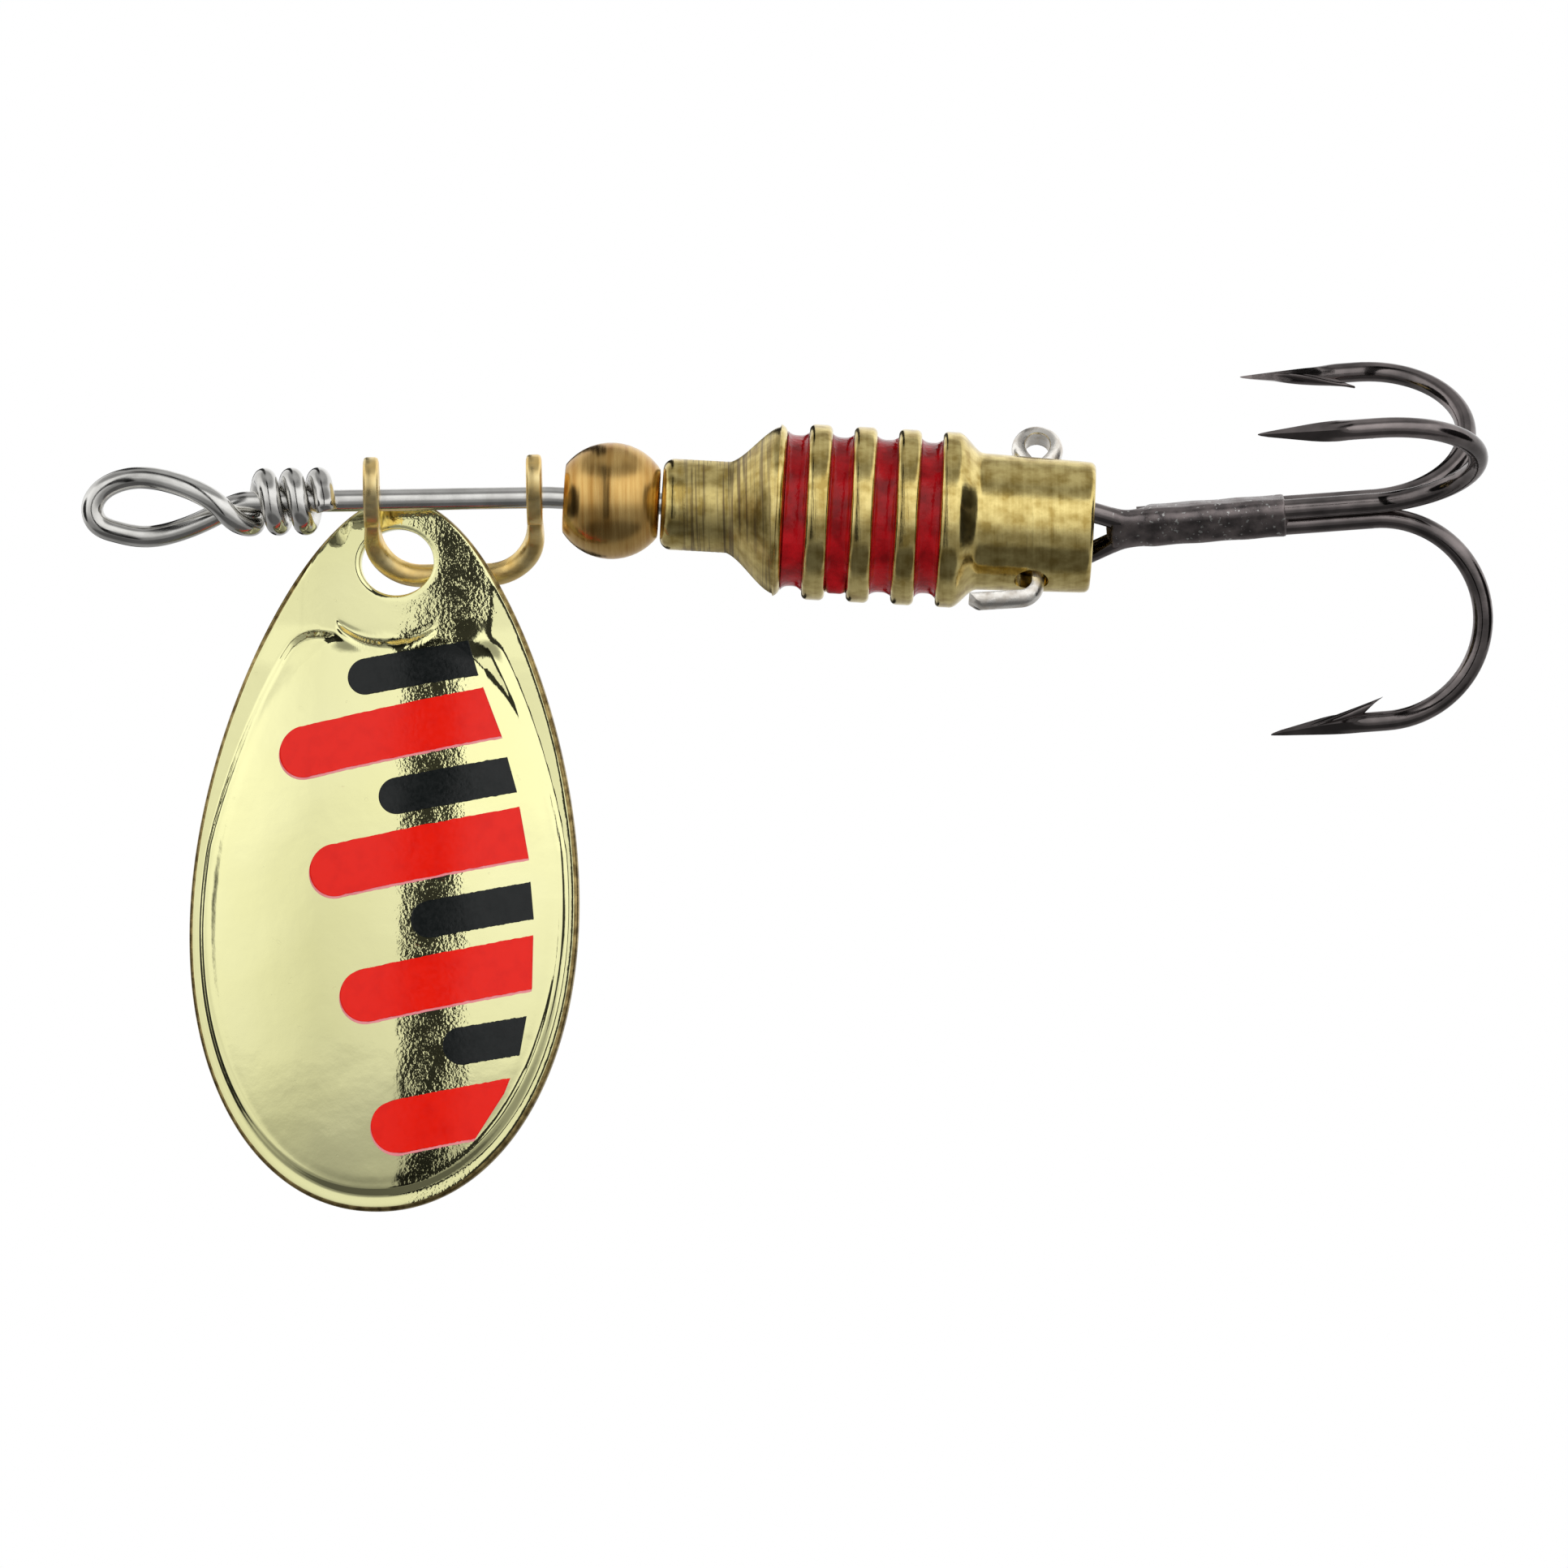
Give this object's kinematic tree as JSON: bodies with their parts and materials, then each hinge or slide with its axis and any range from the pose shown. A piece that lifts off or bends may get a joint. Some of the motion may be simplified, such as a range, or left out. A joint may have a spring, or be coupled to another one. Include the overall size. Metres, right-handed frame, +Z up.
{
  "type": "spinner lure",
  "caption": "Inline spinner lure: a wire shaft with a line eye, a stirrup that carries a domed leaf blade, a ball bead, a grooved body and a barbed treble hook.",
  "frame": {"origin": "middle of the line eye, on the axis of the straight front of the shaft wire", "axes": "+X from the line eye to the treble along the straight front of the shaft wire, +Z up, with the blade hanging down -Z and its domed face towards -Y"},
  "size_m": [0.0611, 0.017, 0.0362],
  "materials": {
    "stainless_wire": "drawn and bright",
    "clevis_brass": "bright, coined",
    "blade_gilt": "mirror gilt plate with printed red and black bars",
    "bead_brass": "turned, warm",
    "body_brass": "turned, satin",
    "red_enamel": "gloss",
    "pin_steel": "satin, tinned",
    "hook_steel": "black nickel",
    "hook_braze": "black nickel over filler"
  },
  "bodies": {
    "shaft": {"shaft_wire": "stainless_wire"},
    "stirrup": {"clevis": "clevis_brass"},
    "spinner_blade": {"blade": "blade_gilt"},
    "ball": {"bead": "bead_brass"},
    "weight": {"body": "body_brass", "groove_lacquer": "red_enamel", "split_pin": "pin_steel"},
    "treble": {"hook_pair": "hook_steel", "hook_single": "hook_steel", "hook_braze": "hook_braze"}
  },
  "joints": [
    {"name": "clevis_spin", "type": "hinge", "parent": "shaft", "child": "stirrup", "pos_m": [0.00951, 0, 0], "axis": [1, 0, 0], "continuous": true},
    {"name": "blade_swing", "type": "hinge", "parent": "stirrup", "child": "spinner_blade", "pos_m": [0.01056, 0.00189, -0.00327], "axis": [-1, 0, 0], "range_deg": [0, 75]},
    {"name": "bead_spin", "type": "hinge", "parent": "shaft", "child": "ball", "pos_m": [0.01987, 0, -0.0002], "axis": [0.9974, 0, -0.072], "continuous": true},
    {"name": "body_spin", "type": "hinge", "parent": "shaft", "child": "weight", "pos_m": [0.02712, 0, -0.00072], "axis": [0.9974, 0, -0.072], "continuous": true},
    {"name": "treble_swing", "type": "hinge", "parent": "weight", "child": "treble", "pos_m": [0.03812, 0, -0.00151], "axis": [0.0617, 0.515, 0.8549], "range_deg": [-15, 12]}
  ]
}
